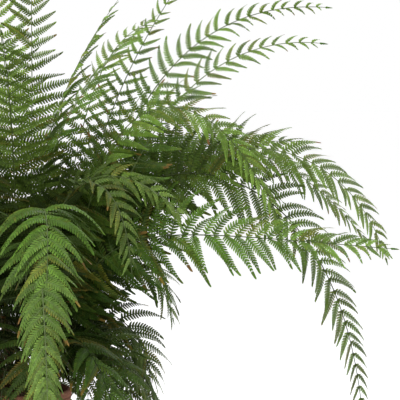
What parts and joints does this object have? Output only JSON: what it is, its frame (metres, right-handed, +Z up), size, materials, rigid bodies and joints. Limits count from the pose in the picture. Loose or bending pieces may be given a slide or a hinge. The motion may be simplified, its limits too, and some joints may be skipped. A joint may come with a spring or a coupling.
{
  "type": "potted fern",
  "caption": "Large bushy fern with long arching, comb-leaved fronds, growing from a rhizome crown in a turned terracotta vase.",
  "frame": {"origin": "centre of the vase's foot, on the surface that it stands on", "axes": "+Z up along the vase's axis, -Y towards the front of the plant, +X towards its right-hand side"},
  "size_m": [1.2741, 1.1654, 1.2055],
  "materials": {
    "terracotta": "matte unglazed red-brown clay",
    "soil": "dark crumbly peat",
    "rhizome": "rough brown scales",
    "frond": "soft satin green leaf"
  },
  "bodies": {
    "root": {"vase": "terracotta", "potting_soil": "soil", "rhizome_crown": "rhizome", "frond_01": "frond", "frond_02": "frond", "frond_03": "frond", "frond_04": "frond", "frond_05": "frond", "frond_06": "frond", "frond_07": "frond", "frond_08": "frond", "frond_09": "frond", "frond_10": "frond", "frond_11": "frond", "frond_12": "frond", "frond_13": "frond", "frond_14": "frond", "frond_15": "frond", "frond_16": "frond", "frond_17": "frond", "frond_18": "frond", "frond_19": "frond", "frond_20": "frond", "frond_21": "frond", "frond_22": "frond", "frond_23": "frond", "frond_24": "frond", "frond_25": "frond", "frond_26": "frond", "frond_27": "frond", "frond_28": "frond", "frond_29": "frond", "frond_30": "frond", "frond_31": "frond", "frond_32": "frond", "frond_33": "frond", "frond_34": "frond", "frond_35": "frond", "frond_36": "frond", "frond_37": "frond", "frond_38": "frond", "frond_39": "frond", "frond_40": "frond", "frond_41": "frond", "frond_42": "frond", "frond_43": "frond", "frond_44": "frond", "frond_45": "frond", "frond_46": "frond", "frond_47": "frond", "frond_48": "frond", "frond_49": "frond", "frond_50": "frond", "frond_51": "frond", "frond_52": "frond", "frond_53": "frond", "frond_54": "frond", "frond_55": "frond", "frond_56": "frond", "frond_57": "frond"}
  },
  "joints": []
}
